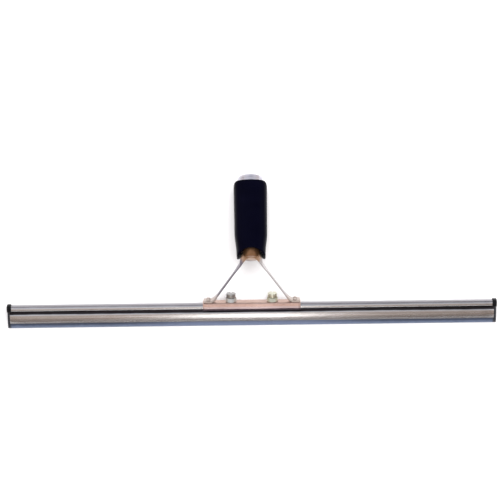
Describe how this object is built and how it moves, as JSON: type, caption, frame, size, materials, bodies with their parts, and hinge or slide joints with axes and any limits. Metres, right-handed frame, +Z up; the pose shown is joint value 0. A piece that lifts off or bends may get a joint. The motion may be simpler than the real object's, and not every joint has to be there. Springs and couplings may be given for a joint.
{
  "type": "window squeegee",
  "caption": "Window cleaning squeegee: rubber blade in a long steel channel, clamped by screws to a bent wishbone handle with a black grip and a pole socket.",
  "frame": {"origin": "centre of the footprint, on the surface that the squeegee lies on", "axes": "+X along the blade, +Y from the blade towards the end of the grip, +Z up; it lies face up on its wiping edge and the rim of its handle"},
  "size_m": [0.4624, 0.1416, 0.0409],
  "materials": {
    "stainless": "brushed along its length",
    "bronze": "satin, slightly tarnished",
    "clamp_bronze": "satin, pinkish",
    "screw_metal": "dull machined, tarnished",
    "pad_brass": "machined",
    "tube_metal": "drawn",
    "collar_metal": "polished",
    "grip_rubber": "matt moulded",
    "blade_rubber": "smooth, dark blue-grey",
    "clip_plastic": "moulded black"
  },
  "bodies": {
    "handle": {"clamp_saddle": "clamp_bronze", "clamp_nut_left": "screw_metal", "clamp_nut_right": "screw_metal", "yoke": "bronze", "foot_rivet_left_front": "bronze", "foot_rivet_left_rear": "bronze", "foot_rivet_right_front": "bronze", "foot_rivet_right_rear": "bronze", "pole_socket": "tube_metal", "socket_pin": "tube_metal", "socket_collar": "collar_metal", "grip_sleeve": "grip_rubber"},
    "channel": {"channel": "stainless"},
    "blade": {"blade_rubber": "blade_rubber"},
    "clip_left": {"end_clip_left": "clip_plastic"},
    "clip_right": {"end_clip_right": "clip_plastic"},
    "pad_left": {"pressure_pad_left": "pad_brass"},
    "pad_right": {"pressure_pad_right": "pad_brass"},
    "screw_left": {"clamp_screw_left": "screw_metal"},
    "screw_right": {"clamp_screw_right": "screw_metal"}
  },
  "joints": [
    {"name": "channel_slide", "type": "slide", "parent": "handle", "child": "channel", "axis": [1, 0, 0], "range_m": [-0.15, 0.15]},
    {"name": "blade_slide", "type": "slide", "parent": "channel", "child": "blade", "axis": [1, 0, 0], "range_m": [0, 0.44]},
    {"name": "clip_left_pull", "type": "slide", "parent": "channel", "child": "clip_left", "axis": [-1, 0, 0], "range_m": [0, 0.012]},
    {"name": "clip_right_pull", "type": "slide", "parent": "channel", "child": "clip_right", "axis": [1, 0, 0], "range_m": [0, 0.012]},
    {"name": "pad_left_lift", "type": "slide", "parent": "handle", "child": "pad_left", "axis": [0, 0.8991, 0.4377], "range_m": [0, 0.0012]},
    {"name": "screw_left_turn", "type": "hinge", "parent": "pad_left", "child": "screw_left", "pos_m": [-0.0195, -0.04343, 0.01403], "axis": [0, 0.8991, 0.4377], "range_deg": [0, 540]},
    {"name": "pad_right_lift", "type": "slide", "parent": "handle", "child": "pad_right", "axis": [0, 0.8991, 0.4377], "range_m": [0, 0.0012]},
    {"name": "screw_right_turn", "type": "hinge", "parent": "pad_right", "child": "screw_right", "pos_m": [0.0195, -0.04343, 0.01403], "axis": [0, 0.8991, 0.4377], "range_deg": [0, 540]}
  ],
  "couplings": [
    {"joint": "screw_left_turn", "follows": "pad_left_lift", "rad_per_m": 7854},
    {"joint": "screw_right_turn", "follows": "pad_right_lift", "rad_per_m": 7854}
  ]
}
